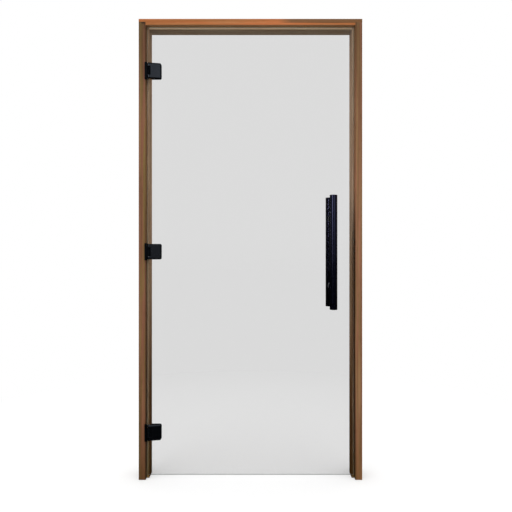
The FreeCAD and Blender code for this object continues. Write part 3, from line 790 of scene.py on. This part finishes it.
dress([f"{place}_hinge_{side}_clamp" for place in HINGES for side in SIDES], hinge_black)
dress([f"{place}_hinge_leaf" for place in HINGES], leaf_black)
dress(["catch_plate"], hinge_black)
dress([f"{side}_handle_bar" for side in SIDES], handle_black)
for piece in ("cap", "post", "collar"):
    dress([f"{side}_handle_{end}_{piece}" for side in SIDES for end in ENDS], handle_black)

# %% [markdown]
# Pins, studs and the catch ball are bare steel, and thin clear pads keep metal off the glass. The
# steel is brushed: fine noise, drawn out in one direction, varies its roughness. The pads are a
# soft milky plastic.

# %% Steel and pads
SCRATCH_SCALE = 3000
SCRATCH_EDGES = (0.3, 0.7)
STEEL_ROUGHNESS = (0.22, 0.38)
STEEL_HAZE_SCALE = 120
PAD_HAZE_SCALE = 300


def brushed_steel():
    material, tree, shader, place = start_material("brushed_steel")
    scratches = noise(tree, scaled(tree, place["Object"], (1, 1, 0.05)), SCRATCH_SCALE)
    haze = noise(tree, place["Object"], STEEL_HAZE_SCALE)
    feed(
        tree,
        shader,
        Base_Color=blend_colours(tree, haze, linear(204, 204, 202), linear(182, 183, 182)),
        Metallic=1.0,
        Roughness=remap(tree, scratches, *SCRATCH_EDGES, *STEEL_ROUGHNESS),
    )
    return material


def milky_plastic():
    material, tree, shader, place = start_material("milky_plastic")
    haze = noise(tree, place["Object"], PAD_HAZE_SCALE)
    tint = blend_colours(tree, haze, linear(205, 210, 210), linear(225, 228, 228))
    feed(tree, shader, Base_Color=tint, Roughness=0.4, Transmission_Weight=0.5)
    return material


steel_pieces = [f"{place}_hinge_pin" for place in HINGES]
steel_pieces += [f"{end}_handle_stud" for end in ENDS]
dress(steel_pieces + ["catch_ball"], brushed_steel())
dress([f"{place}_hinge_pads" for place in HINGES] + ["handle_washers"], milky_plastic())

# %% [markdown]
# Tempered glass is clear with a slight grey cast, and its ground edges are frosted and dark,
# because light that reaches them has gone a long way through the sheet. The shader is plain glass:
# full transmission and a real index of refraction. Only the roughness and the tint change, at the
# edges, which are found by the direction of the surface: everything that does not face front or
# back. Light that falls through such glass is bent twice on its way, and a path tracer rarely finds
# that way from a lamp. So for light that falls on something, though not for what is seen, the glass
# is nearly as open as air, and keeps a faint shadow.

# %% Glass
GLASS_TINT = linear(226, 226, 226)
EDGE_TINT = linear(78, 88, 86)
EDGE_ROUGHNESS = 0.35
EDGE_TURNED = (0.95, 0.8)
GLASS_IOR = 1.5
GLASS_SHADOW = 0.15


def clear_glass():
    material, tree, shader, place = start_material("clear_glass")
    edge = remap(tree, facing(tree, "Y", 1.0), *EDGE_TURNED)
    rays = add(tree, "LightPath").outputs
    lighting = calc(tree, "MAXIMUM", rays["Is Shadow Ray"], rays["Is Diffuse Ray"])
    feed(
        tree,
        shader,
        Base_Color=blend_colours(tree, edge, GLASS_TINT, EDGE_TINT),
        Roughness=calc(tree, "MULTIPLY", edge, EDGE_ROUGHNESS),
        Alpha=calc(tree, "MULTIPLY_ADD", lighting, GLASS_SHADOW - 1.0, 1.0),
        IOR=GLASS_IOR,
        Transmission_Weight=1.0,
    )
    return material


dress(["glass_panel"], clear_glass())

# %% [markdown]
# Screws are too small for the CAD model. The inner clamps are held by button-head screws with a hex
# socket, and the hinge leaves and the catch plate by small domed screws. Each is a turned shape: a
# profile spun round an axis. In mesh code that is one ring of points for each step of the profile,
# with a wall of faces between each ring and the next.

# %% Rings and walls
def ring_of(mesh, radius, height, count):
    made = []
    for step in range(count):
        angle = 2 * math.pi * step / count
        made.append(mesh.verts.new((radius * math.cos(angle), radius * math.sin(angle), height)))
    return made


def wall_between(mesh, low, high):
    """Joins two rings of as many points by faces of four corners."""
    for step in range(len(low)):
        following = (step + 1) % len(low)
        mesh.faces.new((low[step], low[following], high[following], high[step]))


def loop_edges(mesh, verts):
    """The edges round a ring of vertices, made where there are none yet."""
    edges = []
    for first, second in zip(verts, verts[1:] + verts[:1]):
        edges.append(mesh.edges.get((first, second)) or mesh.edges.new((first, second)))
    return edges

# %% [markdown]
# A mesh becomes a piece of the door when it has a finish, a name and a body to ride on. The piece
# takes the slot of the black metal, like the hinges and the catch.

# %% From a mesh to a piece
def as_piece(mesh, name, body, paint):
    """Turns a mesh into a black piece of the hinges or the catch that moves with a body."""
    bmesh.ops.recalc_face_normals(mesh, faces=mesh.faces)
    data = bpy.data.meshes.new(name)
    mesh.to_mesh(data)
    mesh.free()
    data.materials.append(paint)
    piece = bpy.data.objects.new(name, data)
    bpy.context.scene.collection.objects.link(piece)
    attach(piece, body)

# %% [markdown]
# The points of the profile are shares of the head's radius and height, so one profile serves screws
# of every size. The hex socket is a ring of six points sunk into the head, and a flat ring of faces
# bridges from the round edge of the dome to the rim of the socket.

# %% The head of a screw
ROUND_STEPS = 32
HEX_CORNERS = 6
DOME = [(1.0, 0.0), (1.0, 0.12), (0.97, 0.35), (0.88, 0.6), (0.74, 0.8), (0.58, 0.94)]
SOCKET_RIM = 0.95
SOCKET_FLOOR = 0.3


def button_screw(name, body, place, towards, radius, tall, socket):
    """A domed head that stands on a surface; towards is the way it faces."""
    mesh = bmesh.new()
    rings = [ring_of(mesh, radius * out, tall * up, ROUND_STEPS) for out, up in DOME]
    for low, high in zip(rings, rings[1:]):
        wall_between(mesh, low, high)
    rim = ring_of(mesh, socket, tall * SOCKET_RIM, HEX_CORNERS)
    sunk = ring_of(mesh, socket, tall * SOCKET_FLOOR, HEX_CORNERS)
    bmesh.ops.bridge_loops(mesh, edges=loop_edges(mesh, rings[-1]) + loop_edges(mesh, rim))
    wall_between(mesh, rim, sunk)
    mesh.faces.new(sunk)
    mesh.faces.new(list(reversed(rings[0])))
    turn = Vector(towards).to_track_quat("Z", "X").to_matrix().to_4x4()
    mesh.transform(Matrix.Translation(place) @ turn)
    as_piece(mesh, name, body, hinge_black)


print("a screw head has", len(DOME), "rings of", ROUND_STEPS, "points")

# %% [markdown]
# Each inner clamp, each leaf and the catch plate has an upper and a lower screw, as far above its
# middle as below. Those of the clamps ride on the door and face inwards. Those of the leaves stand
# on the inner side of the hinge jamb, where a leaf is let in almost flush, and those of the catch
# face them from the strike jamb, so both ride on the frame.

# %% Screws
CLAMP_SCREW = {"radius": 0.0052, "tall": 0.003, "socket": 0.002}
LEAF_SCREW = {"radius": 0.0036, "tall": 0.0008, "socket": 0.0015}
CATCH_SCREW = {"radius": 0.003, "tall": 0.0006, "socket": 0.0012}
CLAMP_SCREW_RISE = 0.02
LEAF_SCREW_RISE = 0.024
CATCH_SCREW_RISE = 0.036
LEAF_SCREW_INSET = 0.0095
LEAF_PROUD = 0.001
UP_AND_DOWN = tuple(zip(ENDS, (1, -1)))

for place in HINGES:
    low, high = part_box(f"{place}_hinge_inner_clamp")
    middle = (low + high) / 2
    for end, sign in UP_AND_DOWN:
        spot = Vector((middle.x, high.y, middle.z + sign * CLAMP_SCREW_RISE))
        button_screw(f"{place}_clamp_{end}_screw", "door", spot, (0, 1, 0), **CLAMP_SCREW)

for place in HINGES:
    low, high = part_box(f"{place}_hinge_leaf")
    middle = (low + high) / 2
    for end, sign in UP_AND_DOWN:
        rise = middle.z + sign * LEAF_SCREW_RISE
        spot = Vector((jamb_high.x + LEAF_PROUD, high.y - LEAF_SCREW_INSET, rise))
        button_screw(f"{place}_leaf_{end}_screw", "frame", spot, (1, 0, 0), **LEAF_SCREW)

low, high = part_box("catch_plate")
middle = (low + high) / 2
for end, sign in UP_AND_DOWN:
    spot = Vector((low.x, middle.y, middle.z + sign * CATCH_SCREW_RISE))
    button_screw(f"catch_{end}_screw", "frame", spot, (-1, 0, 0), **CATCH_SCREW)
print("screws made")

# %% [markdown]
# Each outer clamp has a slot in which the hinge's knuckle turns. On the real hinge the slot is a
# blind pocket, so it looks black. Here a thin curved shell closes its back: part of a tube round
# the pin's axis, so it stays clear of the knuckle at every angle of the door. The shell is a dull,
# deeper black than the coat: painted shade.

# %% Pockets behind the knuckles
POCKET_RADIUS = 0.007
POCKET_WALL = 0.001
POCKET_HEIGHT = 0.04
POCKET_START_DEG = -25
POCKET_END_DEG = 138
POCKET_STEPS = 28


def pocket_shell(name, axis):
    mesh = bmesh.new()
    inner, half = POCKET_RADIUS - POCKET_WALL, POCKET_HEIGHT / 2
    corners = ((inner, -half), (POCKET_RADIUS, -half), (POCKET_RADIUS, half), (inner, half))
    rows = []
    for step in range(POCKET_STEPS + 1):
        sweep = (POCKET_END_DEG - POCKET_START_DEG) * step / POCKET_STEPS
        turn = math.radians(POCKET_START_DEG + sweep)
        away = Vector((math.cos(turn), math.sin(turn), 0))
        rows.append([mesh.verts.new(axis + away * radius + Vector((0, 0, rise)))
                     for radius, rise in corners])
    for first, second in zip(rows, rows[1:]):
        wall_between(mesh, first, second)
    mesh.faces.new(rows[0])
    mesh.faces.new(rows[-1])
    as_piece(mesh, name, "door", pocket_shade_black)


pin_x, pin_y = frame["joints"][0]["pos_m"][:2]
for place in HINGES:
    low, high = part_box(f"{place}_hinge_outer_clamp")
    pocket_shell(f"{place}_hinge_pocket", Vector((pin_x, pin_y, (low.z + high.z) / 2)))
print("pockets made")

# %% [markdown]
# The scene must not be larger than the CAD model, so its box is printed, as the CAD box was at the
# start.

# %% Sizes
low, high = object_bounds()
print("visual box", [round(value, 4) for value in high - low])
